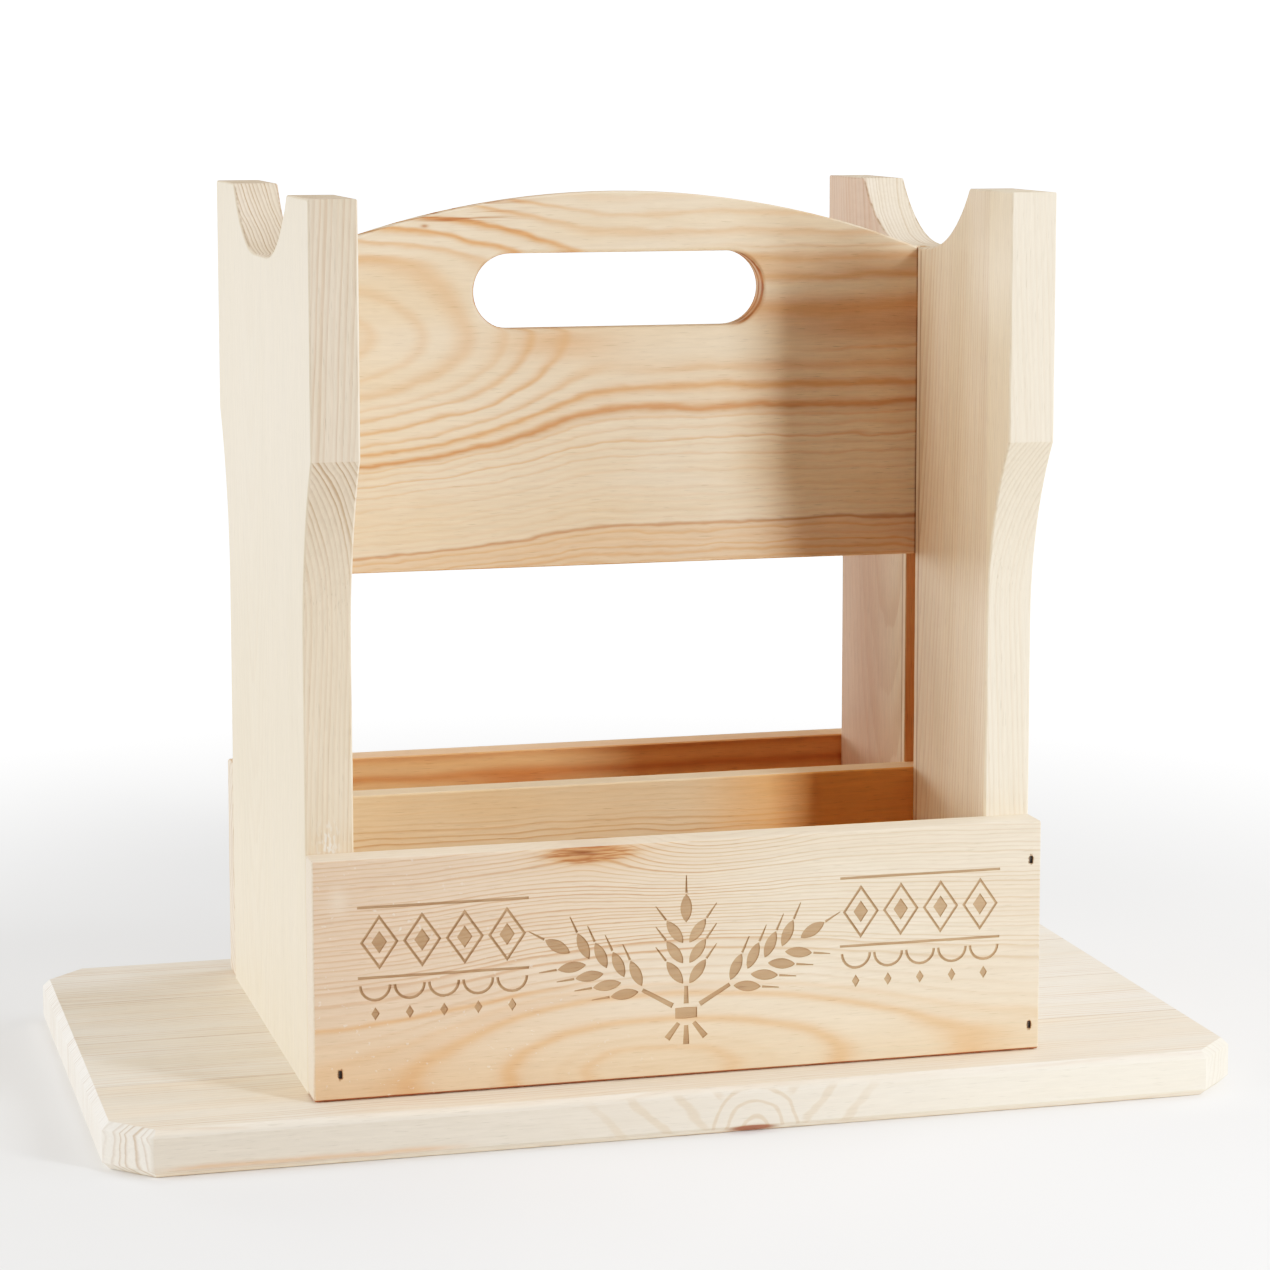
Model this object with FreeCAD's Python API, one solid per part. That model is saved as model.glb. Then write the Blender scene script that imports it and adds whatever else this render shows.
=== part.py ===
import FreeCAD, Part
import math
import os

# A pine bottle carrier that turns over into a stool.
# Millimetres, +Z up, X along the carrier, Y from front to back.
# The origin lies under the middle of the base board.

# Base board, edge-glued from staves
base_thickness = 18.0
base_end_overhang = 80.0
base_side_overhang = 12.5
corner_cut = 17.0
base_bevel = 2.8
stave_names = ("front", "mid_front", "mid_back", "back")

# Side panels: two horns beside a notch, shoulders, and a drawn-in waist
caddy_length = 290.0
side_thickness = 18.5
side_height = 339.0
horn_depth = 227.0
horn_height = 96.0
waist_inset = 22.0
shoulder_radius = 132.0
notch_depth = 26.0
notch_flat = 28.0
notch_radius = 65.0

# Handle panel and divider, both housed in one full-height groove in each side panel
web_thickness = 12.0
groove_depth = 6.0
groove_clearance = 0.1
handle_height = 151.0
handle_drop = 2.0
slot_length = 120.0
slot_height = 30.0
slot_margin = 24.5
slot_edge_round = 2.0
divider_height = 96.0

# Rails nailed on the waist edges, a shadow line above the base board
rail_thickness = 14.0
rail_height = 92.0
rail_lift = 0.4

# T-headed brads, two at each end of a rail, driven into the edge of a side panel
brad_length = 25.0
brad_width = 1.4
brad_shank = 1.6
brad_head = 3.0
brad_head_thickness = 1.2
brad_point = 2.5
brad_recess = 0.8
brad_clearance = 0.05
brad_top_margin = 15.5
brad_bottom_margin = 10.0
brad_inset_shares = (0.54, 0.22)

# Dowels that hold the side panels to the base board
dowel_diameter = 8.0
dowel_length = 36.0
dowel_count = 4
dowel_base_share = 0.6
dowel_gap = 3.5
dowel_clearance = 0.05

# Sanded arrises, and the overrun of every cut
arris = 0.6
overrun = 5.0

# Places worked out from the sizes above
base_length = caddy_length + 2 * base_end_overhang
base_width = horn_depth + 2 * base_side_overhang
stave_width = base_width / len(stave_names)
top_height = base_thickness + side_height
outer_x = caddy_length / 2
inner_x = outer_x - side_thickness
horn_y = horn_depth / 2
waist_y = horn_y - waist_inset
notch_floor = top_height - notch_depth
web_half_length = inner_x + groove_depth - groove_clearance
handle_top = top_height - handle_drop
handle_bottom = handle_top - handle_height
rail_bottom = base_thickness + rail_lift
dowel_x = outer_x - side_thickness / 2
dowel_bottom = base_thickness * (1 - dowel_base_share)
brad_reach = brad_recess + brad_length - rail_thickness
dowel_reach = waist_y - brad_reach - dowel_gap - dowel_diameter / 2


def vector(x, y, z):
    return FreeCAD.Vector(x, y, z)


def line(start, end):
    return Part.LineSegment(start, end).toShape()


def arc(start, middle, end):
    return Part.Arc(start, middle, end).toShape()


def prism(edges, direction):
    """A solid extruded from a closed outline."""
    return Part.Face(Part.Wire(edges)).extrude(direction)


def polygon(points):
    """The edges of a closed outline with straight sides."""
    return Part.makePolygon(points + points[:1]).Edges


def box(low, high):
    """A block between two opposite corners."""
    size = high - low
    return Part.makeBox(size.x, size.y, size.z, low)


def edges_at(shape, axis, places):
    """The edges that lie wholly in the planes where the axis has one of these values."""
    found = []
    for edge in shape.Edges:
        for place in places:
            span = (getattr(edge.BoundBox, axis + "Min"), getattr(edge.BoundBox, axis + "Max"))
            if all(math.isclose(value, place, abs_tol=arris / 100) for value in span):
                found.append(edge)
    return found


def dowel_places(side):
    """The centres of one side panel's dowels, evenly spread between the points of the brads."""
    step = 2 * dowel_reach / (dowel_count - 1)
    return [vector(side * dowel_x, index * step - dowel_reach, dowel_bottom) for index in range(dowel_count)]


def dowel(place, clearance):
    return Part.makeCylinder(dowel_diameter / 2 + clearance, dowel_length, place)


def brad_places():
    """The X and Z of a front rail's brads: low and high at each end."""
    insets = [share * side_thickness for share in brad_inset_shares]
    columns = (insets[0] - outer_x, outer_x - insets[1])
    rows = (rail_bottom + brad_bottom_margin, rail_bottom + rail_height - brad_top_margin)
    return [(x, z) for x in columns for z in rows]


def brad(x, z, clearance, lead):
    """One brad of the front rail, pointing to the back; a lead opens the punched hole over its head."""
    head_y = brad_recess - waist_y - rail_thickness
    neck_y = head_y + brad_head_thickness
    point_y = head_y + brad_length + clearance
    head = brad_head / 2 + clearance
    shank = brad_shank / 2 + clearance
    side_x = x - brad_width / 2 - clearance
    upper = [
        (head_y - lead, head),
        (neck_y + clearance, head),
        (neck_y + clearance, shank),
        (point_y - brad_point, shank),
    ]
    outline = [vector(side_x, y, z + half) for y, half in upper]
    outline.append(vector(side_x, point_y, z))
    outline += [vector(side_x, y, z - half) for y, half in reversed(upper)]
    return prism(polygon(outline), vector(brad_width + 2 * clearance, 0, 0))


def front_brads(clearance, lead):
    return [brad(x, z, clearance, lead) for x, z in brad_places()]


def turned(shape):
    """A copy turned half a turn about the upright axis, from the front to the back."""
    return shape.rotated(vector(0, 0, 0), vector(0, 0, 1), 180)


def base_staves():
    """The base board with its cut corners and bevels, ripped into staves from front to back."""
    x = base_length / 2
    y = base_width / 2
    corners = []
    for side_x, side_y in ((1, 1), (-1, 1), (-1, -1), (1, -1)):
        along = vector(side_x * (x - corner_cut), side_y * y, 0)
        across = vector(side_x * x, side_y * (y - corner_cut), 0)
        corners += [across, along] if side_x == side_y else [along, across]
    board = prism(polygon(corners), vector(0, 0, base_thickness))
    board = board.makeChamfer(base_bevel, edges_at(board, "Z", (0, base_thickness)))
    bores = [dowel(place, dowel_clearance) for side in (-1, 1) for place in dowel_places(side)]
    staves = {}
    for index, name in enumerate(stave_names):
        low = vector(-x, index * stave_width - y, 0)
        high = vector(x, (index + 1) * stave_width - y, base_thickness)
        staves["base_stave_" + name] = board.common(box(low, high)).cut(bores)
    return staves


def side_outline(x):
    """The closed outline of a side panel in the upright plane at x."""
    flat_y = notch_flat / 2
    notch_turn = math.acos(1 - notch_depth / notch_radius)
    shoulder_turn = math.acos(1 - waist_inset / shoulder_radius)
    shoulder = top_height - horn_height
    waist_top = shoulder - shoulder_radius * math.sin(shoulder_turn)

    def notch_point(side, turn):
        y = flat_y + notch_radius * math.sin(turn)
        return vector(x, side * y, notch_floor + notch_radius * (1 - math.cos(turn)))

    def shoulder_point(side, turn):
        y = waist_y + shoulder_radius * (1 - math.cos(turn))
        return vector(x, side * y, waist_top + shoulder_radius * math.sin(turn))

    halves = {}
    for side in (-1, 1):
        foot = vector(x, side * waist_y, base_thickness)
        horn = vector(x, side * horn_y, top_height)
        waist = shoulder_point(side, 0)
        corner = shoulder_point(side, shoulder_turn)
        lip = notch_point(side, notch_turn)
        floor = notch_point(side, 0)
        halves[side] = [
            line(foot, waist),
            arc(waist, shoulder_point(side, shoulder_turn / 2), corner),
            line(corner, horn),
            line(horn, lip),
            arc(lip, notch_point(side, notch_turn / 2), floor),
        ]
    floor_line = line(notch_point(-1, 0), notch_point(1, 0))
    foot_line = line(vector(x, -waist_y, base_thickness), vector(x, waist_y, base_thickness))
    return halves[-1] + [floor_line] + halves[1][::-1] + [foot_line]


def side_panel(side):
    """A side panel with eased arrises, the groove in its inner face, dowel bores and brad holes."""
    panel = prism(side_outline(side * outer_x), vector(-side * side_thickness, 0, 0))
    foot = edges_at(panel, "Z", (base_thickness,))
    rim = edges_at(panel, "X", (side * outer_x, side * inner_x))
    panel = panel.makeChamfer(arris, [edge for edge in rim if not any(edge.isSame(other) for other in foot)])
    groove_half = web_thickness / 2 + groove_clearance
    groove_xs = sorted((side * (inner_x - overrun), side * (inner_x + groove_depth)))
    groove = box(
        vector(groove_xs[0], -groove_half, base_thickness),
        vector(groove_xs[1], groove_half, top_height),
    )
    bores = [dowel(place, dowel_clearance) for place in dowel_places(side)]
    holes = front_brads(brad_clearance, overrun)
    return panel.cut([groove] + bores + holes + [turned(hole) for hole in holes])


def handle_panel():
    """The handle board: its arch meets the floors of the notches, and its hand slot has round edges."""
    rise = notch_depth - handle_drop
    arch_radius = (inner_x ** 2 + rise ** 2) / (2 * rise)
    end_top = handle_top - arch_radius + math.sqrt(arch_radius ** 2 - web_half_length ** 2)
    front = -web_thickness / 2
    depth = vector(0, web_thickness, 0)
    low_left = vector(-web_half_length, front, handle_bottom)
    low_right = vector(web_half_length, front, handle_bottom)
    high_left = vector(-web_half_length, front, end_top)
    high_right = vector(web_half_length, front, end_top)
    crown = arc(high_right, vector(0, front, handle_top), high_left)
    edges = [line(low_left, low_right), line(low_right, high_right), crown, line(high_left, low_left)]
    board = prism(edges, depth)
    board = board.makeChamfer(arris, edges_at(board, "Y", (front, -front)))
    slot_end = slot_length / 2 - slot_height / 2
    slot_middle = handle_top - slot_margin - slot_height / 2
    slot_corners = {}
    for side in (-1, 1):
        for level in (-1, 1):
            place = vector(side * slot_end, front, slot_middle + level * slot_height / 2)
            slot_corners[side, level] = place
    left_tip = vector(-slot_length / 2, front, slot_middle)
    right_tip = vector(slot_length / 2, front, slot_middle)
    slot_edges = [
        line(slot_corners[-1, -1], slot_corners[1, -1]),
        arc(slot_corners[1, -1], right_tip, slot_corners[1, 1]),
        line(slot_corners[1, 1], slot_corners[-1, 1]),
        arc(slot_corners[-1, 1], left_tip, slot_corners[-1, -1]),
    ]
    board = board.cut(prism(slot_edges, depth))
    rim = [edge for edge in edges_at(board, "Y", (front, -front)) if abs(edge.CenterOfMass.x) < slot_length / 2
           and abs(edge.CenterOfMass.z - slot_middle) <= slot_height / 2 + arris / 100]
    return board.makeFillet(slot_edge_round, rim)


def center_divider():
    """The low board between the two bays, standing on the base board."""
    low = vector(-web_half_length, -web_thickness / 2, base_thickness)
    high = vector(web_half_length, web_thickness / 2, base_thickness + divider_height)
    board = box(low, high)
    return board.makeChamfer(arris, edges_at(board, "Z", (high.z,)))


def front_rail():
    """The front rail with eased arrises and its punched brad holes."""
    low = vector(-outer_x, -waist_y - rail_thickness, rail_bottom)
    high = vector(outer_x, -waist_y, rail_bottom + rail_height)
    rail = box(low, high)
    rail = rail.makeChamfer(arris, rail.Edges)
    return rail.cut(front_brads(brad_clearance, overrun))


def build():
    """Every node of the carrier by name."""
    nodes = base_staves()
    nodes["left_side_panel"] = side_panel(-1)
    nodes["right_side_panel"] = side_panel(1)
    nodes["handle_panel"] = handle_panel()
    nodes["center_divider"] = center_divider()
    nodes["front_rail"] = front_rail()
    nodes["back_rail"] = turned(nodes["front_rail"])
    brads = Part.makeCompound(front_brads(0, 0))
    nodes["front_rail_brads"] = brads
    nodes["back_rail_brads"] = turned(brads)
    for side, name in ((-1, "left_panel_dowels"), (1, "right_panel_dowels")):
        nodes[name] = Part.makeCompound([dowel(place, 0) for place in dowel_places(side)])
    return nodes


os.makedirs("parts", exist_ok=True)
for node, shape in build().items():
    if not shape.isValid():
        raise ValueError("not a valid solid: " + node)
    shape.exportStep("parts/" + node + ".step")
    print(node, len(shape.Solids), round(shape.Volume, 1))
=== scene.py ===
import math
import bmesh
import bpy
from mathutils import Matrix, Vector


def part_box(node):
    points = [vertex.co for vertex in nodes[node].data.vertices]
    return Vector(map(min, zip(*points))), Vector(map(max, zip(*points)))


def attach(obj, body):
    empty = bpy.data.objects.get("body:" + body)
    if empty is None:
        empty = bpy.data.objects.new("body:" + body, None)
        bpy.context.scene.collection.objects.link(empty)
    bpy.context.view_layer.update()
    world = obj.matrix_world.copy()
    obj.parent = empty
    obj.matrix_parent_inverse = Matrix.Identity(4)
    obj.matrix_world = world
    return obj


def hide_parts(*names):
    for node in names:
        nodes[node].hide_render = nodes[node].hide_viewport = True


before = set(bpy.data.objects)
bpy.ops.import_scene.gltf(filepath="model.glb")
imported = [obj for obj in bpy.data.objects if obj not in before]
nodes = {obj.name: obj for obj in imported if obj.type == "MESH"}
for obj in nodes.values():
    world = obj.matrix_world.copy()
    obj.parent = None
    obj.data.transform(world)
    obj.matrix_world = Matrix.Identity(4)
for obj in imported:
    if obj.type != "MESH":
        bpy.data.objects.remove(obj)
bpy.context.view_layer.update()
MM = 0.001
TURN = 2 * math.pi


def corners(node):
    """A node's lowest and highest corners in millimetres."""
    return [[part / MM for part in corner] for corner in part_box(node)]


# Faces and edges of the boards in millimetres, from the frame
rail_low, rail_high = corners("front_rail")
panel_low, panel_high = corners("right_side_panel")
rail_face, waist_face = rail_low[1], rail_high[1]
rail_bottom, rail_top = rail_low[2], rail_high[2]
inner_face, outer_face = panel_low[0], panel_high[0]
panel_top = panel_high[2]
divider_top = corners("center_divider")[1][2]
handle_face = corners("handle_panel")[0][1]
base_face = corners("base_stave_front")[0][1]

# Details in millimetres that the boards' boxes don't give
notch_floor = 331.0
notch_half = 80.0
groove_half = 6.1
groove_depth = 6.0
slot_middle = 315.5
slot_straight = 45.0
slot_radius = 15.0
brad_left, brad_right = -135.0, 140.9
brad_low, brad_high = 28.4, 94.9


def linear(color):
    """An sRGB colour from 0 to 255 as linear RGBA."""
    shares = [channel / 255 for channel in color]
    light = [share / 12.92 if share <= 0.04045 else ((share + 0.055) / 1.055) ** 2.4 for share in shares]
    return (*light, 1.0)


# Tones that several boards share
milk = linear((248, 238, 222))
cream = linear((245, 222, 195))
ivory = linear((238, 224, 203))
honey = linear((239, 213, 182))
pale = linear((235, 212, 182))
amber = linear((233, 200, 163))
peach = linear((230, 202, 170))
orange = linear((214, 150, 102))
tan = linear((198, 150, 110))
ember = linear((190, 116, 64))
umber = linear((170, 138, 106))
russet = linear((164, 96, 58))

# Tones of the handle panel and the divider
# painted shade for the handle's right part
handle_shade_brown = linear((192, 118, 72))
# painted shadow line where the handle meets the side panels
joint_shadow_brown = linear((120, 66, 38))
divider_warm = linear((230, 188, 144))
divider_late = linear((194, 134, 88))
# painted warm shade and painted lighter shade for the divider's shadowed right end
divider_shade_orange = linear((236, 158, 92))
divider_shade_lift = linear((255, 188, 116))
# painted highlight for the divider's top face and edge
divider_top_highlight = linear((252, 228, 196))

# Tones of the front rail
rail_late = linear((186, 138, 101))
rail_rose = linear((218, 178, 149))
rail_apricot = linear((230, 184, 138))
rail_straw = linear((218, 194, 160))
# painted highlight for the front rail's top face and edge
rail_top_highlight = linear((252, 232, 204))
rail_end = linear((246, 226, 198))
knot_tan = linear((208, 146, 96))
bark_tan = linear((200, 142, 94))
bark_brown = linear((150, 88, 50))
bark_core = linear((120, 68, 36))
# painted shadow for the gap under the front rail
gap_shadow_brown = linear((140, 76, 46))
torn_brown = linear((104, 70, 48))
char_pale = linear((172, 138, 104))
char_dark = linear((148, 114, 82))

# Tones of the back rail
# painted warm shade and painted lighter shade for the back rail's inner face
inner_shade_orange = linear((222, 166, 112))
inner_shade_lift = linear((246, 188, 128))
# painted highlight for the back rail's top face and edge
back_rail_top_highlight = linear((240, 198, 164))

# Tones of the side panels
side_rose = linear((212, 174, 152))
side_tan = linear((232, 206, 172))
side_yellow = linear((243, 224, 190))
# painted highlight for the right panel's front edges
right_edge_highlight = linear((252, 230, 197))
# painted warm shade for the groove
groove_shade_orange = linear((234, 184, 134))
groove_line = linear((150, 104, 70))
rim_brown = linear((140, 108, 82))

# Tones of the base
glue_brown = linear((168, 124, 90))
# painted shade and painted light for the base's front edge
edge_shade_grey = linear((217, 202, 182))
edge_light_yellow = linear((244, 230, 200))
edge_straw = linear((232, 218, 190))
lean_tan = linear((206, 176, 144))
arch_tan = linear((200, 166, 130))
spot_brown = linear((146, 82, 54))

# Tones of the brads, the dowels and the studio
steel_dark = linear((64, 56, 50))
steel_grey = linear((104, 98, 94))
beech_pale = linear((222, 178, 134))
beech_warm = linear((206, 158, 114))
beech_fleck = linear((168, 112, 72))
studio_white = linear((249, 249, 248))
studio_grey = linear((246, 246, 245))
full_white = (1.0, 1.0, 1.0, 1.0)


class Field:
    """A value that varies over a surface: a node's output with arithmetic."""

    def __init__(self, net, socket):
        self.net = net
        self.socket = socket

    def _with(self, operation, *others):
        return self.net.math(operation, self, *others)

    def __add__(self, other):
        return self._with("ADD", other)

    def __sub__(self, other):
        return self._with("SUBTRACT", other)

    def __rsub__(self, other):
        return self.net.math("SUBTRACT", other, self)

    def __mul__(self, other):
        return self._with("MULTIPLY", other)

    def __truediv__(self, other):
        return self._with("DIVIDE", other)

    def __pow__(self, other):
        return self._with("POWER", other)

    def __neg__(self):
        return self._with("MULTIPLY", -1.0)

    def __abs__(self):
        return self._with("ABSOLUTE")

    __radd__ = __add__
    __rmul__ = __mul__


class Net:
    """One material's net of nodes, built from fields."""

    def __init__(self, name):
        self.material = bpy.data.materials.new(name)
        self.material.use_nodes = True
        self.tree = self.material.node_tree
        self.tree.nodes.clear()

    def feed(self, socket, value):
        if isinstance(value, Field):
            self.tree.links.new(value.socket, socket)
        elif value is not None:
            socket.default_value = value

    def node(self, kind, inputs=(), output=0, **settings):
        made = self.tree.nodes.new("ShaderNode" + kind)
        for key, value in settings.items():
            setattr(made, key, value)
        for key, value in inputs.items() if isinstance(inputs, dict) else enumerate(inputs):
            self.feed(made.inputs[key], value)
        return Field(self, made.outputs[output])

    def math(self, operation, *values):
        return self.node("Math", values, operation=operation)

    def split(self, vector):
        made = self.node("SeparateXYZ", (vector,)).socket.node
        return [Field(self, socket) for socket in made.outputs]

    def place(self):
        """The object's own coordinates in millimetres."""
        here = self.node("TexCoord", output="Object")
        return self.split(self.node("VectorMath", {0: here, "Scale": 1 / MM}, operation="SCALE"))

    def facing(self):
        """The parts of the surface's normal along X, Y and Z, without sign."""
        return [abs(part) for part in self.split(self.node("NewGeometry", output="Normal"))]

    def noise(self, x, y, z, detail=2.0, roughness=0.5):
        """Smooth noise about zero, mostly within half a unit."""
        where = self.node("CombineXYZ", (x, y, z))
        inputs = {"Vector": where, "Scale": 1.0, "Detail": detail, "Roughness": roughness}
        return self.node("TexNoise", inputs) - 0.5

    def dice(self, index):
        """A fixed random number from 0 to 1 for each whole number."""
        return self.node("TexWhiteNoise", {"W": index}, noise_dimensions="1D")

    def wave(self, value, length):
        """A cosine with one crest in each length."""
        return self.math("COSINE", value * (TURN / length))

    def smooth(self, value, low, high, start=0.0, end=1.0):
        """The start below the low value, rising or falling to the end at the high one."""
        return self.node("MapRange", (value, low, high, start, end), interpolation_type="SMOOTHSTEP")

    def fade(self, value, low, high):
        """One below the low value, falling to zero at the high one."""
        return self.smooth(value, low, high, 1.0, 0.0)

    def bell(self, value, middle, width):
        """One at the middle, falling off smoothly at about the width."""
        offset = (value - middle) / width
        return self.math("POWER", math.e, -(offset * offset))

    def patch(self, x, z, middle, size):
        """One at a point of an upright face, falling off smoothly at about the size."""
        across = (x - middle[0]) / size[0]
        up = (z - middle[1]) / size[1]
        return self.bell(self.root(across, up), 0.0, 1.0)

    def top_highlight(self, z, top):
        """One on a board's top face and edge, for a painted highlight where light from above falls."""
        return self.smooth(z, top - 0.15, top - 0.02)

    def mix(self, share, first, second):
        return self.node("Mix", {0: share, 6: first, 7: second}, output=2, data_type="RGBA")

    def shade(self, color, factor):
        """A colour made darker or lighter."""
        return self.node("VectorMath", {0: color, "Scale": factor}, operation="SCALE")

    def root(self, *parts):
        """The root of the sum of squares."""
        total = parts[0] * parts[0]
        for part in parts[1:]:
            total = total + part * part
        return self.math("SQRT", total)

    def finish(self, color, roughness, bump, depth, specular, strength, metallic=0.0):
        """The finished material; the bump's depth is in millimetres."""
        shader = self.tree.nodes.new("ShaderNodeBsdfPrincipled")
        normal = self.node("Bump", {"Strength": strength, "Distance": depth * MM, "Height": bump})
        self.feed(shader.inputs["Base Color"], color)
        self.feed(shader.inputs["Metallic"], metallic)
        self.feed(shader.inputs["Roughness"], roughness)
        self.feed(shader.inputs["Specular IOR Level"], specular)
        self.feed(shader.inputs["Normal"], normal)
        out = self.tree.nodes.new("ShaderNodeOutputMaterial")
        self.tree.links.new(shader.outputs[0], out.inputs["Surface"])
        return self.material


def rings(net, radius, steps):
    """The ring count at a distance from the pith; steps are (distance, ring width) from the pith out."""
    count = radius / steps[0][1]
    for (_, inner), (start, outer) in zip(steps, steps[1:]):
        count = count + net.math("MAXIMUM", radius - start, 0.0) * (1 / outer - 1 / inner)
    return count


def pine(name, grain, figure, early, warm, late, seed):
    """Sanded pine: growth rings after the board's own figure, fibres, resin canals and end grain.

    A figure gives the ring count and its contrast. It may also give how soft and how sharp the rings are,
    stains as (share, colour), relief, and how dark (end), how lined and of what tone the end grain is.
    """
    net = Net(name)
    x, y, z = net.place()
    normal = net.facing()
    look = figure(net, x, y, z)
    along, across = {"x": (x, (y, z)), "z": (z, (x, y))}[grain]
    end = net.smooth(normal["xyz".index(grain)], 0.12, 0.45)
    flattest = net.math("MAXIMUM", net.math("MAXIMUM", normal[0], normal[1]), normal[2])
    # arrises lighter: partly sanding wear, partly painted highlight on the eased edges
    arris_wear_and_highlight = net.fade(flattest, 0.75, 0.93)

    def texture(length, width, detail, roughness=0.5, shift=seed):
        """Noise drawn out along the grain."""
        return net.noise(along / length + shift, across[0] / width, across[1] / width, detail, roughness)

    count = look["count"] + net.noise(look["count"] * 0.6, seed, 0.0, detail=1.0) * 0.9 + seed * 17.0
    index = net.math("FLOOR", count)
    part = count - index
    rise = net.smooth(part, net.dice(index) * 0.3 + 0.12, 0.86) ** look.get("sharp", 1.0)
    fall = net.fade(part, 0.92 - look.get("soft", 0.0) * 0.3, 1.0)
    band = rise * fall * (net.dice(index + 0.37) * 0.8 + 0.35) * look["contrast"]

    fibre = texture(length=9.0, width=0.8, detail=2.0, roughness=0.6)
    streak = texture(length=28.0, width=1.5, detail=3.0, roughness=0.65)
    cloud = texture(length=90.0, width=22.0, detail=2.0, shift=seed * 3.0)
    canal = texture(length=8.0, width=0.5, detail=1.0)
    dash = net.smooth(canal, 0.12, 0.26) * (1.0 - end)

    tone = net.mix(net.smooth(cloud, -0.3, 0.3), early, warm)
    if "end_tone" in look:
        tone = net.mix(end * 0.85, tone, look["end_tone"])
    line_tone = net.mix(end * 0.7, late, umber)
    tone = net.mix(band * (end * look.get("end_lines", 0.5) + 1.0), tone, line_tone)
    for share, color in look.get("stains", ()):
        tone = net.mix(share, tone, color)
    light = 1.0 + streak * 0.24 + fibre * 0.18 - dash * 0.2 - end * look.get("end", 0.06) + arris_wear_and_highlight * 0.05
    bump = fibre * 0.8 + band * 0.4 - dash * 0.6 + look.get("relief", 0.0)
    color = net.shade(tone, light)
    return net.finish(color, streak * 0.2 + 0.56, bump, depth=0.2, specular=0.3, strength=0.4)


def handle_figure(net, x, y, z):
    """A flat-sawn board: the pith runs behind the face and sinks away to the right."""
    pith_level = 297.5
    pith_exit = -135.0
    pith_slope = 0.347
    pith_depth = 42.0
    foot_ring = 87.0
    slow = net.noise(x / 55.0, y / 30.0, z / 24.0)
    fast = net.noise(x / 19.0, y / 12.0, z / 7.0)
    level = z + slow * 4.0 + fast * 4.2
    height = level - pith_level
    run = (x - pith_exit) * pith_slope
    sink = pith_depth - net.math("SMOOTH_MAX", pith_depth - run, 0.0, 8.0)
    radius = net.root(height, sink + (y - handle_face))
    steep = net.smooth(abs(height) / radius, 0.12, 0.5)
    right = net.smooth(x, -45.0, 5.0)
    low = net.fade(height, -18.0, -6.0)
    calm = net.smooth(x, 40.0, 90.0, 1.0, 0.6)

    strength = net.smooth(radius, 53.0, 72.0, 0.9, 0.27)
    strength = strength + net.smooth(radius, foot_ring, foot_ring + 2.0, 0.0, 0.5)
    strength = strength * net.smooth(radius, 22.0, 45.0, 0.7, 1.0)
    strength = strength + net.smooth(height, 24.0, 38.0) * net.fade(x, -45.0, -15.0) * 0.45
    strength = strength * (1.0 - net.bell(height, 27.0, 6.0) * net.smooth(x, 40.0, 80.0) * 0.7)

    streaky = net.smooth(net.noise(x / 28.0, y / 12.0, z / 1.1), -0.06, 0.16)
    scorch = net.bell(x, -67.0, 24.0) * net.smooth(z + x * 0.12, 331.0, 337.0) * streaky
    pocket = net.patch(x, z, middle=(-80.0, 342.0), size=(1.6, 0.8))
    off_slot = net.root(net.math("MAXIMUM", abs(x) - slot_straight, 0.0), z - slot_middle)
    # painted shade on the slot's end walls
    slot_end_shade = net.fade(off_slot, slot_radius + 0.4, slot_radius + 1.4)
    slot_end_shade = slot_end_shade * net.smooth(abs(x), slot_straight, slot_straight + 9.0)
    layers = net.smooth(net.wave(y + fast * 2.0, 4.4), -0.2, 0.7, 0.25, 0.95)
    stains = [
        (net.bell(x, -25.0, 26.0) * net.bell(level, 294.0, 6.5) * 0.6, orange),
        (net.bell(radius, 52.0, 1.3) * low * calm * 0.6, ember),
        (net.bell(radius, 47.5, 1.4) * low * calm * 0.5, orange),
        (net.smooth(radius, foot_ring, foot_ring + 3.0) * 0.35, orange),
        (net.bell(radius, foot_ring + 1.0, 0.8) * 0.5, russet),
        # painted shade: a broad reddish brown band on the right, where the right panel's shadow falls
        (net.bell(level, 299.0, 6.5) * net.smooth(x, 50.0, 105.0) * 0.5, handle_shade_brown),
        (scorch * 0.85, russet),
        (pocket * 0.8, russet),
        # painted shade in the slot's end walls, striped like end grain
        (slot_end_shade * layers, russet),
        # painted shadow line where the handle enters the side panels' grooves
        (net.bell(abs(x), inner_face - 0.1, 0.5) * 0.7, joint_shadow_brown),
    ]
    bands = (
        (332.0, 0.9, 0.35, 20.0),
        (327.0, 1.3, 0.4, 20.0),
        (319.5, 2.0, 0.6, 15.0),
        (307.5, 4.6, 0.7, 0.0),
        (290.5, 1.0, 0.5, 60.0),
        (283.0, 1.9, 0.5, -20.0),
    )
    for middle, width, share, start in bands:
        stains.append((net.bell(level, middle, width) * net.smooth(x, start, start + 50.0) * share, orange))
    wide = 1.0 - net.smooth(height, 4.0, 34.0, 0.0, 0.26)
    return {
        "count": rings(net, radius * wide, ((0.0, 6.8), (27.0, 4.3), (52.0, 2.6))),
        "contrast": strength * (1.0 - right * (1.0 - steep)),
        "soft": 0.9,
        "stains": stains,
    }


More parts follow.
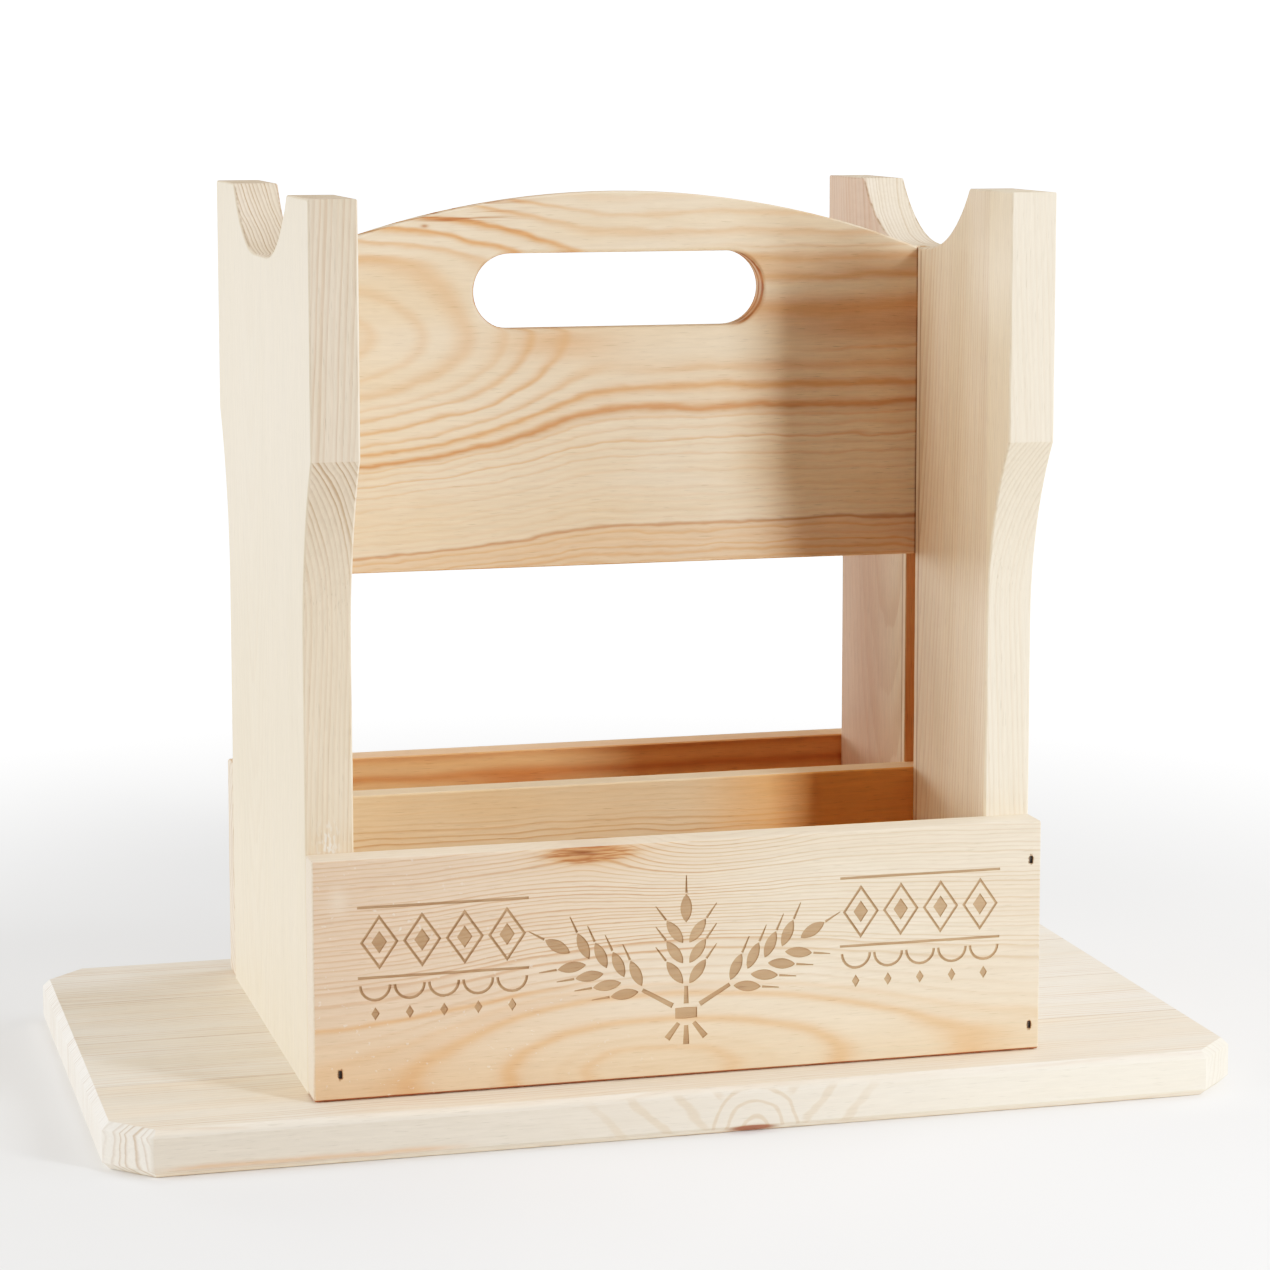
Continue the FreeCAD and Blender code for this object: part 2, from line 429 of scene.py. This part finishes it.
def rail_figure(net, x, y, z):
    """A flat-sawn board cut near the pith: long ovals below, straight lines above, a bark pocket on top."""
    pith_level = 22.0
    oval_middle = -15.0
    vein_level = 45.5
    drawing_middle = 64.0
    drawing_half_height = 38.0
    drawing_half_length = 132.0
    slow = net.noise(x / 60.0 + 4.0, y / 30.0, z / 26.0)
    fast = net.noise(x / 20.0, y / 12.0, z / 5.0 + 7.0)
    reach = net.math("MAXIMUM", (x - oval_middle) * 0.72, oval_middle - x)
    sink = 34.0 - net.bell(reach, 0.0, 68.0) * 26.0
    sag = net.bell(x, 12.0, 46.0) * net.smooth(z, 70.0, 108.0) * 8.0
    knot = net.patch(x, z, middle=(-36.0, 109.0), size=(24.0, 8.0))
    radius = net.root(z + sag - pith_level, sink + (y - rail_face)) + slow * 3.4 + fast * 1.2 - knot * 5.0

    bark = net.patch(x, z, middle=(-38.0, 107.6), size=(18.0, 3.8))
    core = net.patch(x, z, middle=(-41.0, 108.2), size=(6.0, 1.2))
    streaky = net.smooth(net.noise(x / 12.0, y / 9.0, z / 0.9), -0.1, 0.14)
    fine = net.smooth(net.noise(x / 70.0, y / 4.0, z / 0.9, detail=1.0), 0.0, 0.2)
    fine = fine * net.smooth(x, -20.0, 60.0)
    climb = net.smooth(x, -150.0, -20.0) * 12.0
    vein = net.bell(z + fast * 1.5 - climb, vein_level, 1.1) * net.fade(x, -70.0, -25.0)
    fleck = net.smooth(net.noise(x / 2.4, y / 2.0, z / 1.6), 0.17, 0.23)
    fleck = fleck * net.fade(x + z * 0.9, -30.0, 40.0)
    filled = net.patch(x, z, middle=(brad_left, brad_high), size=(3.5, 5.0))
    sunk = net.smooth(y, rail_face + 0.08, rail_face + 0.2)
    sunk = sunk * net.fade(abs(x), drawing_half_length, drawing_half_length + 0.5)
    sunk = sunk * net.fade(abs(z - drawing_middle), drawing_half_height, drawing_half_height + 0.5)
    char = net.mix(net.smooth(fast + slow, -0.4, 0.4), char_pale, char_dark)
    stains = [
        (net.fade(x, -140.0, 70.0) * 0.7, rail_rose),
        (net.fade(z, 24.0, 62.0) * 0.4, rail_apricot),
        (knot * 0.55, knot_tan),
        (fine * 0.35, rail_straw),
        (net.smooth(bark, 0.12, 0.7) * 0.75, bark_tan),
        (net.smooth(bark, 0.14, 0.6) * streaky * 0.8, bark_brown),
        (core * 0.8, bark_core),
        (vein * 0.65, orange),
        # painted highlight on the top face and edge
        (net.top_highlight(z, rail_top) * 0.7, rail_top_highlight),
        (net.smooth(-x, outer_face - 0.7, outer_face - 0.2) * 0.75, rail_end),
    ]
    for ring, width, share in ((11.5, 0.9, 0.4), (20.5, 1.4, 0.6), (30.0, 1.4, 0.6), (34.0, 1.0, 0.3)):
        stains.append((net.bell(radius, ring, width) * share, orange))
    stains += [
        # painted shadow of the gap under the rail, along its bottom edge
        (net.fade(z, rail_bottom + 0.5, rail_bottom + 1.0) * 0.9, gap_shadow_brown),
        (fleck * 0.28, milk),
        (filled * 0.4, cream),
        (sunk * 0.88, char),
    ]
    for column, row in ((brad_left, brad_low), (brad_right, brad_low), (brad_right, brad_high)):
        torn = net.root((x - column) / 1.2, (z - row) / 2.2) + net.noise(x / 0.9, column, z / 1.1) * 1.1
        stains.append((net.fade(torn, 0.8, 1.15) * 0.75, torn_brown))
    plainer = net.smooth(x, -60.0, 90.0, 1.3, 0.45)
    return {
        "count": rings(net, radius, ((0.0, 8.2), (36.0, 3.2), (50.0, 1.6))),
        "contrast": net.smooth(radius, 25.0, 48.0, 0.25, 1.15) * plainer,
        "soft": 0.4,
        "sharp": 2.0,
        "stains": stains,
        "relief": fleck * 1.2,
    }


def stave_figure(shift):
    """A base stave whose rings stand nearly upright along its length, with dark glue lines beside it."""
    stave_width = -base_face / 2
    ring_width = 2.7

    def figure(net, x, y, z):
        slow = net.noise(x / 110.0 + shift, y / 26.0, z / 20.0)
        fast = net.noise(x / 25.0, y / 5.0 + shift, z / 5.0)
        across = y - z * 0.16 + slow * 11.0 + fast * 1.4
        seam = net.bell(abs(y), stave_width, 0.45) + net.bell(y, 0.0, 0.35)
        shown = net.smooth(net.noise(x / 45.0, 0.0, shift, detail=1.0), -0.2, 0.15, 0.25, 0.8)
        shown = net.math("MAXIMUM", shown, net.smooth(x, 130.0, 160.0) * 0.75)
        pink = net.smooth(net.noise(x / 120.0 + shift, y / 14.0, 0.0, detail=1.0), 0.0, 0.25)
        depth = net.smooth(net.noise(x / 150.0, y / 12.0 + shift, 0.0), -0.2, 0.22, 0.08, 0.6)
        return {
            "count": across / ring_width,
            "contrast": depth,
            "soft": 0.3,
            "sharp": 1.4,
            "end": 0.0,
            "end_tone": milk,
            "stains": [(pink * 0.22, peach), (seam * shown, glue_brown)],
        }

    return figure


def front_stave_figure(net, x, y, z):
    """The front stave: its edge has leaning lines beside a small bark pocket under an arch of rings."""
    arch_x, arch_z = 22.0, 1.0
    lean_pitch = 17.0
    arch_pitch = 5.6
    look = stave_figure(1.0)(net, x, y, z)
    edge = net.fade(y, base_face + 0.1, base_face + 2.0)
    waver = net.noise(x / 16.0, 3.0, z / 8.0) * 8.0
    away = abs(x - arch_x)
    arch = net.root(x - arch_x, z - arch_z)
    near = net.fade(arch + waver * 0.3, 17.0, 21.0)
    lean = net.smooth(net.wave(away - z * 0.9 + waver, lean_pitch), 0.55, 0.95)
    lean = lean * net.fade(away, 45.0, 80.0) * net.fade(x, 58.0, 80.0) * (1.0 - near)
    arc = net.smooth(net.wave(arch + waver * 0.45, arch_pitch), 0.45, 0.95)
    spot = net.patch(x, z, middle=(21.0, 1.4), size=(12.0, 2.0))
    spot = spot * net.fade(y, base_face + 5.0, base_face + 8.0)
    hem = net.bell(z + waver * 0.2, 3.4, 1.1) * net.smooth(x, -215.0, -190.0) * net.fade(x, -110.0, -80.0)
    look["contrast"] = look["contrast"] * net.smooth(y, base_face + 0.1, base_face + 2.0, 0.3, 1.0)
    look["end_lines"] = net.smooth(x, -100.0, 100.0, 0.3, -0.4)
    look["end_tone"] = net.mix(net.smooth(x, -100.0, 100.0), milk, edge_straw)
    look["stains"] += [
        # painted shade and light: the front edge greyer to the left and lighter to the right, as the key
        # light falls
        (edge * net.fade(x, -120.0, 190.0) * 0.9, edge_shade_grey),
        (edge * net.smooth(x, 0.0, 190.0) * 0.5, edge_light_yellow),
        (edge * lean * 0.5, lean_tan),
        (edge * near * arc * 0.55, arch_tan),
        (edge * hem * 0.55, orange),
        (net.smooth(spot, 0.3, 0.8) * 0.9, spot_brown),
    ]
    return look


def side_figure(side):
    """An upright board, its rings aslant in plan and flat-sawn towards the back, with painted warm shade in
    the groove.
    """
    on_right = side > 0
    pith_y = 30.0
    pith_depth = 150.0
    pith_slope = 0.045
    ring_width = 1.5
    rosy = 0.72 if on_right else 0.35

    def figure(net, x, y, z):
        slow = net.noise(z / 90.0 + side, x / 20.0, y / 25.0)
        fast = net.noise(z / 30.0 + side, x / 4.0, y / 6.0)
        outward = x * side
        depth = pith_depth - (outward - inner_face) - z * pith_slope
        radius = net.root(y - pith_y, depth) + slow * 2.4 + fast * 0.5

        groove_floor = inner_face + groove_depth
        # painted shade in the groove's walls and floor
        groove_shade = net.fade(abs(y), groove_half + 0.1, groove_half + 0.5)
        groove_shade = groove_shade * net.smooth(outward, inner_face + 0.2, inner_face + 0.8)
        groove_shade = groove_shade * net.fade(outward, groove_floor + 0.1, groove_floor + 0.5)
        groove_shade = groove_shade * net.fade(z, notch_floor - 3.0, notch_floor - 1.0)
        inner = net.fade(outward, inner_face + 0.2, inner_face + 0.7)
        inner = inner * net.fade(z, notch_floor - 2.0, notch_floor - 0.5)
        ragged = net.smooth(net.noise(y / 6.0, z / 3.0, side), -0.15, 0.15, 0.2, 1.0)
        rim = net.bell(outward, inner_face + 0.6, 0.4) * net.smooth(y, 30.0, 40.0)
        rim = rim + net.bell(outward, outer_face - 0.8, 0.4)
        rim = rim * net.smooth(z, notch_floor + 0.5, notch_floor + 2.0)
        rim = rim * net.fade(z, panel_top - 2.0, panel_top - 0.5)
        rim = rim * net.fade(abs(y), notch_half, notch_half + 4.0)
        rose = net.smooth(y, 0.0, 60.0) * net.fade(outward, inner_face + 0.3, inner_face + 1.5)
        stains = [
            (rose * rosy, side_rose),
            (inner * net.fade(abs(y), 8.4, 9.2) * 0.6, cream),
            (inner * net.bell(abs(y), 9.8, 0.7) * 0.6, groove_line),
            (rim * ragged * 0.7, rim_brown),
            (groove_shade * 0.85, groove_shade_orange),
        ]
        striped = net.fade(z, 170.0, 240.0) * 0.25 + 0.42
        lines = net.smooth(outward, inner_face + 0.1, inner_face + 1.0, 0.3, striped)
        if on_right:
            # painted highlight: the right panel's front edges lighter, where the key light falls
            stains.append((net.fade(y, waist_face + 0.5, waist_face + 3.5) * 0.6, right_edge_highlight))
            horn = net.fade(outward, inner_face + 0.1, inner_face + 0.5)
            horn = horn * net.smooth(y, 30.0, 60.0) * net.smooth(z, notch_floor - 31.0, notch_floor - 1.0)
            lines = lines * net.smooth(z, notch_floor, notch_floor + 2.0, 1.0, 0.6) + horn * 0.7
        else:
            edge = net.fade(y, waist_face + 1.0, waist_face + 2.0)
            torn = net.smooth(net.noise(x / 1.1, y / 2.0, z / 3.4), 0.0, 0.1)
            torn = torn * net.fade(z, rail_top + 3.6, rail_top + 16.6) * net.bell(x, -136.0, 4.0)
            stains += [
                (edge * net.fade(z, 180.0, 260.0) * 0.5, side_tan),
                (edge * torn * 0.9, milk),
                (net.smooth(outward, outer_face - 0.5, outer_face - 0.1) * 0.6, side_yellow),
            ]
        return {
            "count": radius / ring_width,
            "contrast": lines * net.smooth(outward, outer_face - 1.5, outer_face - 0.1, 1.0, 0.36),
            "end_lines": 1.0,
            "stains": stains,
        }

    return figure


def plain_figure(pith_level, pith_depth, ring_width):
    """A board with gently waving lines along its length."""

    def figure(net, x, y, z):
        slow = net.noise(x / 60.0 + pith_depth, y / 20.0, z / 22.0)
        fast = net.noise(x / 18.0 + pith_depth, y / 6.0, z / 5.0)
        radius = net.root(z - pith_level, y + pith_depth) + slow * 5.0 + fast
        return {"count": radius / ring_width, "contrast": 0.55, "soft": 0.6}

    return figure


def divider_figure(net, x, y, z):
    """The divider: fine waving lines, its right end painted warmer and lighter where the right panel's
    shadow falls.
    """
    look = plain_figure(pith_level=40.0, pith_depth=60.0, ring_width=1.9)(net, x, y, z)
    look["stains"] = [
        # painted shade: warm orange, then lighter, where the right panel's shadow falls
        (net.smooth(x, 20.0, 70.0) * 0.65, divider_shade_orange),
        (net.smooth(x, 72.0, 90.0) * 0.8, divider_shade_lift),
        # painted highlight on the top face and edge
        (net.top_highlight(z, divider_top) * 0.7, divider_top_highlight),
    ]
    level = z + net.noise(x / 40.0, 2.0, z / 9.0) * 14.0
    look["contrast"] = net.fade(level, 92.0, 112.0) * 0.55 + 0.15
    look["sharp"] = 1.8
    return look


def back_rail_figure(net, x, y, z):
    """The back rail: broad bands, and an inner face painted deep orange as warm shade, lighter to the
    right.
    """
    look = plain_figure(pith_level=70.0, pith_depth=-60.0, ring_width=5.0)(net, x, y, z)
    back_face = -rail_face
    inner = net.fade(y, back_face - 5.5, back_face - 0.5)
    inner = inner * net.fade(abs(x), inner_face + 1.5, outer_face - 5.0)
    level = z + net.noise(x / 50.0, 5.0, z / 20.0) * 4.0
    rows = ((109.5, 2.4, 0.8), (100.5, 2.0, 1.0), (90.0, 3.0, 1.0))
    bands = sum(net.bell(level, middle, width) * share for middle, width, share in rows)
    look["stains"] = [
        # painted shade: the inner face deep orange, darker left of the middle, lighter to the right
        (inner * 0.8, inner_shade_orange),
        (inner * net.bell(x, -20.0, 28.0) * net.fade(z, 98.0, 108.0) * 0.8, ember),
        (inner * net.smooth(x, 12.0, 50.0) * 0.55, inner_shade_lift),
        (inner * bands * 0.6, ember),
        # painted highlight on the top face and edge
        (net.top_highlight(z, rail_top) * 0.7, back_rail_top_highlight),
    ]
    look["end_tone"] = cream
    return look


def steel(name):
    """Wire of the brads, dulled and darkened by the driver."""
    net = Net(name)
    x, y, z = net.place()
    scuff = net.noise(x / 0.4, y / 3.0, z / 0.4, detail=3.0)
    tone = net.mix(net.smooth(scuff, -0.2, 0.3), steel_dark, steel_grey)
    return net.finish(tone, scuff * 0.3 + 0.5, scuff, depth=0.05, specular=0.5, strength=0.5, metallic=0.7)


def beech(name):
    """Turned beech with its short dark flecks."""
    net = Net(name)
    x, y, z = net.place()
    fibre = net.noise(x / 0.5, y / 0.5, z / 14.0, detail=3.0)
    fleck = net.smooth(net.noise(x / 0.35, y / 0.35, z / 1.6, detail=1.0), 0.18, 0.26)
    tone = net.mix(net.smooth(fibre, -0.3, 0.3), beech_pale, beech_warm)
    tone = net.mix(fleck * 0.6, tone, beech_fleck)
    return net.finish(tone, fibre * 0.2 + 0.6, fibre, depth=0.1, specular=0.3, strength=0.4)


def paint(node, material):
    nodes[node].material_slots[0].material = material


# Each board's node, material, direction of the grain, figure, two early wood tones and late wood tone
boards = (
    ("handle_panel", "pine_handle", "x", handle_figure, honey, amber, orange),
    ("center_divider", "pine_divider", "x", divider_figure, amber, divider_warm, divider_late),
    ("front_rail", "pine_front_rail", "x", rail_figure, pale, peach, rail_late),
    ("back_rail", "pine_back_rail", "x", back_rail_figure, pale, peach, orange),
    ("left_side_panel", "pine_left_side", "z", side_figure(-1.0), cream, pale, tan),
    ("right_side_panel", "pine_right_side", "z", side_figure(1.0), cream, pale, tan),
    ("base_stave_front", "pine_stave_front", "x", front_stave_figure, ivory, cream, tan),
    ("base_stave_mid_front", "pine_stave_mid_front", "x", stave_figure(2.0), milk, ivory, tan),
    ("base_stave_mid_back", "pine_stave_mid_back", "x", stave_figure(3.0), milk, ivory, tan),
    ("base_stave_back", "pine_stave_back", "x", stave_figure(4.0), milk, ivory, tan),
)
for seed, (node, name, grain, figure, early, warm, late) in enumerate(boards, 1):
    paint(node, pine(name, grain, figure, early, warm, late, float(seed)))
for end in ("front", "back"):
    paint(f"{end}_rail_brads", steel(f"steel_{end}"))
for end in ("left", "right"):
    paint(f"{end}_panel_dowels", beech(f"beech_{end}"))


class Drawing:
    """Closed prisms between two depths, drawn in millimetres of X and Z on the front rail's face."""

    def __init__(self, start, end):
        self.sheets = (start, end)
        self.mesh = bmesh.new()

    def _row(self, points, sheet):
        return [self.mesh.verts.new((x * MM, sheet * MM, z * MM)) for x, z in points]

    def _skin(self, first, second, closed):
        """Quads between two rows on both sheets, with walls along them and, if open, across their ends."""
        front, back = self.sheets
        front_first, front_second = self._row(first, front), self._row(second, front)
        back_first, back_second = self._row(first, back), self._row(second, back)
        steps = len(first) if closed else len(first) - 1
        for here in range(steps):
            after = (here + 1) % len(first)
            quads = (
                (front_first[here], front_first[after], front_second[after], front_second[here]),
                (back_first[after], back_first[here], back_second[here], back_second[after]),
                (front_first[after], front_first[here], back_first[here], back_first[after]),
                (front_second[here], front_second[after], back_second[after], back_second[here]),
            )
            for quad in quads:
                self.mesh.faces.new(quad)
        if not closed:
            self.mesh.faces.new((front_first[0], front_second[0], back_second[0], back_first[0]))
            self.mesh.faces.new((front_second[-1], front_first[-1], back_first[-1], back_second[-1]))

    def ring(self, outer, inner):
        self._skin(outer, inner, True)

    def fill(self, outline):
        front, back = (self._row(outline, sheet) for sheet in self.sheets)
        self.mesh.faces.new(front)
        self.mesh.faces.new(back[::-1])
        for here in range(len(outline)):
            after = (here + 1) % len(outline)
            self.mesh.faces.new((front[after], front[here], back[here], back[after]))

    def strip(self, line, widths):
        """A stroke along a line of points, with a width at each."""
        left, right = [], []
        for index, (x, z) in enumerate(line):
            before, after = line[max(index - 1, 0)], line[min(index + 1, len(line) - 1)]
            run, rise = after[0] - before[0], after[1] - before[1]
            size = math.hypot(run, rise)
            side_x, side_z = -rise / size * widths[index] / 2, run / size * widths[index] / 2
            left.append((x + side_x, z + side_z))
            right.append((x - side_x, z - side_z))
        self._skin(left, right, False)

    def shape(self, name):
        bmesh.ops.recalc_face_normals(self.mesh, faces=self.mesh.faces)
        made = bpy.data.objects.new(name, bpy.data.meshes.new(name))
        self.mesh.to_mesh(made.data)
        bpy.context.scene.collection.objects.link(made)
        return made


def carved(node, filler, drawing):
    """A copy of a node's mesh with a stopped hole and a drawing sunk into it."""
    board = bpy.data.objects.new("board", nodes[node].data.copy())
    bpy.context.scene.collection.objects.link(board)
    board.modifiers.new("weld", "WELD").merge_threshold = 0.001 * MM
    tools = [("UNION", filler.shape("filler")), ("DIFFERENCE", drawing.shape("drawing"))]
    for operation, tool in tools:
        carve = board.modifiers.new(tool.name, "BOOLEAN")
        carve.operation = operation
        carve.object = tool
    bpy.context.view_layer.update()
    mesh = bpy.data.meshes.new_from_object(board.evaluated_get(bpy.context.evaluated_depsgraph_get()))
    for piece in (board, *(tool for _, tool in tools)):
        bpy.data.objects.remove(piece)
    return mesh


def ray(start, turn, reaches):
    """Points at some reaches from a start, in one direction."""
    return [(start[0] + math.cos(turn) * reach, start[1] + math.sin(turn) * reach) for reach in reaches]


def kernel(drawing, root, turn, length, width):
    """One barley grain, a pointed lens, with its awn."""
    steps = 10
    tip_width = 0.3
    awn_gap, awn_step = 0.5, 3.5
    shares = [step / steps for step in range(steps + 1)]
    widths = [tip_width + width * math.sin(math.pi * share) ** 0.75 for share in shares]
    drawing.strip(ray(root, turn, [length * share for share in shares]), widths)
    awn = length + awn_gap
    drawing.strip(ray(root, turn, (awn, awn + awn_step, awn + 2 * awn_step)), (1.0, 0.8, 0.4))


def ear(drawing, foot, turn, stalk, pairs):
    """A barley ear: a stalk, then grains in pairs and one at the tip."""
    pitch, gap, start = 8.0, 1.3, 1.0
    splay = math.radians(36.0)
    length, width, tip_width = 11.0, 4.0, 4.4
    along_x, along_z = math.cos(turn), math.sin(turn)
    drawing.strip(ray(foot, turn, (0.0, stalk / 2, stalk)), (2.1, 1.8, 1.6))
    for pair in range(pairs):
        reach = stalk + start + pair * pitch
        for hand in (-1, 1):
            x = foot[0] + along_x * reach - along_z * hand * gap
            z = foot[1] + along_z * reach + along_x * hand * gap
            kernel(drawing, (x, z), turn + hand * splay, length, width)
    tip = ray(foot, turn, (stalk + start + pairs * pitch,))[0]
    kernel(drawing, tip, turn, length, tip_width)


def lozenge(drawing, x, z, half_width, half_height, line=None):
    """An upright lozenge, outlined or, with no line width, solid."""

    def outline(share):
        return [
            (x + half_width * share, z),
            (x, z + half_height * share),
            (x - half_width * share, z),
            (x, z - half_height * share),
        ]

    if line:
        drawing.ring(outline(1.0), outline(1.0 - line / half_width))
    else:
        drawing.fill(outline(1.0))


def rule(drawing, start, end, z, width):
    """A level line."""
    drawing.strip([(start, z), ((start + end) / 2, z), (end, z)], (width, width, width))


def festoon(drawing, x, z, radius, width):
    """A hanging half round."""
    steps = 12
    turns = [math.pi + math.pi * step / steps for step in range(steps + 1)]
    line = [(x + radius * math.cos(turn), z + radius * math.sin(turn)) for turn in turns]
    drawing.strip(line, [width] * len(line))


def sheaf(drawing, tie):
    """Three barley ears, their cut stalks and the band that ties them at a height."""
    for turn, out, stalk, pairs in ((150.0, 6.2, 14.0, 4), (90.0, 3.6, 7.0, 3), (30.0, 6.2, 14.0, 4)):
        heading = math.radians(turn)
        foot = (out * math.cos(heading), tie + out * math.sin(heading))
        ear(drawing, foot, heading, stalk, pairs)
    for turn in (232.0, 270.0, 308.0):
        drawing.strip(ray((0.0, tie), math.radians(turn), (4.9, 8.5, 12.5)), (1.7, 2.1, 2.6))
    band_half = 4.4
    drawing.strip([(-band_half, tie), (0.0, tie), (band_half, tie)], (4.2, 4.6, 4.2))


def border(drawing, hand):
    """A border on one side: lozenges between two rules, with festoons and drops under them."""
    start, end = 62.0, 128.0
    rule_top, rule_bottom, line = 92.0, 65.0, 1.1
    lozenge_z, lozenge_start, lozenge_pitch, lozenge_line = 78.5, 70.5, 16.4, 1.25
    festoon_z, festoon_start, festoon_pitch, festoon_radius = 62.0, 68.6, 13.2, 5.7
    drop_z = 51.0
    rule(drawing, hand * start, hand * end, rule_top, line)
    rule(drawing, hand * start, hand * end, rule_bottom, line)
    for place in range(4):
        x = hand * (lozenge_start + place * lozenge_pitch)
        lozenge(drawing, x, lozenge_z, half_width=7.4, half_height=10.6, line=lozenge_line)
        lozenge(drawing, x, lozenge_z, half_width=3.0, half_height=4.4)
    for place in range(5):
        x = hand * (festoon_start + place * festoon_pitch)
        festoon(drawing, x, festoon_z, festoon_radius, line)
        lozenge(drawing, x, drop_z, half_width=1.6, half_height=2.6)


def engrave():
    """A plain laser engraving for the front rail: a sheaf of barley between two lozenge borders."""
    overrun, depth = 1.0, 0.35
    drawing = Drawing(rail_face - overrun, rail_face + depth)
    sheaf(drawing, tie=43.0)
    for hand in (-1, 1):
        border(drawing, hand)
    return drawing


def stopping():
    """Filler over the brad at the upper left, whose hole the photograph doesn't show."""
    depth = 0.7
    half_width, half_height = 1.0, 1.9
    filler = Drawing(rail_face, rail_face + depth)
    left, right = brad_left - half_width, brad_left + half_width
    bottom, top = brad_high - half_height, brad_high + half_height
    filler.fill([(right, top), (left, top), (left, bottom), (right, bottom)])
    return filler


rail = bpy.data.objects.new("front_rail_engraved", carved("front_rail", stopping(), engrave()))
bpy.context.scene.collection.objects.link(rail)
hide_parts("front_rail")
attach(rail, "root")


def area(name, place, target, size, power):
    """A rectangular soft light aimed at a point."""
    light = bpy.data.lights.new(name, "AREA")
    light.shape = "RECTANGLE"
    light.size, light.size_y = size
    light.energy = power
    lamp = bpy.data.objects.new(name, light)
    lamp.location = place
    aim = Vector(target) - Vector(place)
    lamp.rotation_euler = aim.to_track_quat("-Z", "Y").to_euler()
    bpy.context.scene.collection.objects.link(lamp)


area("key", place=(0.69, -0.995, 0.55), target=(0.0, 0.0, 0.17), size=(0.19, 0.58), power=7.3)
area("left", place=(-1.55, -0.05, 0.66), target=(0.0, 0.0, 0.17), size=(0.9, 0.9), power=9.2)
area("top", place=(0.15, 0.20, 1.8), target=(0.0, 0.0, 0.1), size=(1.4, 0.5), power=7.2)
area("right", place=(1.4, 0.45, 0.9), target=(0.2, 0.0, 0.05), size=(0.8, 0.8), power=5.5)
area("side", place=(1.05, -0.50, 0.55), target=(0.1, 0.0, 0.15), size=(0.4, 0.7), power=3.2)
area("fill", place=(-1.35, -0.48, 0.45), target=(0.12, -0.06, 0.16), size=(0.3, 0.5), power=1.6)
area("rim", place=(-0.75, 0.85, 0.22), target=(0.1, 0.0, 0.15), size=(0.3, 0.3), power=2.35)

world = bpy.data.worlds.new("studio")
world.use_nodes = True
backdrop = world.node_tree.nodes["Background"]
backdrop.inputs["Color"].default_value = full_white
backdrop.inputs["Strength"].default_value = 0.02
bpy.context.scene.world = world

# The photograph's viewpoint, in metres and degrees
camera_place = (-0.3667, -1.4125, 0.4056)
camera_dip = 7.056
camera_turn = -15.115

camera = bpy.data.cameras.new("camera")
camera.sensor_width = 36.0
camera.lens = 102.42
camera.shift_x = -0.0133
camera.shift_y = -0.0974
shot = bpy.data.objects.new("camera", camera)
shot.location = camera_place
shot.rotation_euler = (math.radians(90.0 - camera_dip), 0.0, math.radians(camera_turn))
bpy.context.scene.collection.objects.link(shot)
bpy.context.scene.camera = shot

# The studio in metres: a round floor and a wall that bends up from it, glowing more outwards
ground = -0.0004
floor_middle = 0.001
floor_radius = 0.5
bend_start = 1.6
bend_radius = 0.6
wall_height = 2.4
glow_start = 0.32
glow_full = 1.2
glow_strength = 1.0


def turned(name, profile):
    """A part of the studio, turned about the object from a profile of (radius, height)."""
    count, size = 96, len(profile)
    mottle_size = 300.0
    points, faces = [], []
    for step in range(count):
        turn = TURN * step / count
        points += [(radius * math.cos(turn), radius * math.sin(turn), z) for radius, z in profile]
        here, after = step * size, (step + 1) % count * size
        faces += [(here + row, after + row, after + row + 1, here + row + 1) for row in range(size - 1)]
    mesh = bpy.data.meshes.new(name)
    mesh.from_pydata(points, [], faces)
    mesh.shade_smooth()
    piece = bpy.data.objects.new(name, mesh)
    bpy.context.scene.collection.objects.link(piece)
    net = Net(name)
    x, y, z = net.place()
    mottle = net.noise(x / mottle_size, y / mottle_size, z / mottle_size)
    tone = net.mix(mottle + 0.5, studio_white, studio_grey)
    material = net.finish(tone, mottle * 0.1 + 0.8, mottle, depth=0.1, specular=0.1, strength=0.05)
    glow = net.smooth(net.root(x, y), glow_start / MM, glow_full / MM, 0.0, glow_strength)
    shader = material.node_tree.nodes["Principled BSDF"]
    shader.inputs["Emission Color"].default_value = full_white
    net.feed(shader.inputs["Emission Strength"], glow)
    mesh.materials.append(material)
    return piece


turned("floor", [(floor_middle, ground), (floor_radius, ground)])
bend_steps = 16
bend = []
for step in range(bend_steps + 1):
    turn = TURN / 4 * step / bend_steps
    bend.append((bend_start + bend_radius * math.sin(turn), ground + bend_radius * (1 - math.cos(turn))))
wall = turned("wall", [(floor_radius, ground), *bend, (bend_start + bend_radius, wall_height)])
wall.visible_diffuse = False
wall.visible_glossy = False
wall.visible_shadow = False


def film(value):
    """A film-like response: deep in the shadows, gentle towards white."""
    toe, shoulder = 1.35, 0.25
    return (1 + shoulder) * value ** toe / (value ** toe + shoulder)


view = bpy.context.scene.view_settings
view.view_transform = "Standard"
view.use_curve_mapping = True
film_steps = 16
for step in range(1, film_steps):
    level = (step / film_steps) ** 2
    view.curve_mapping.curves[3].points.new(level, film(level))
view.curve_mapping.update()
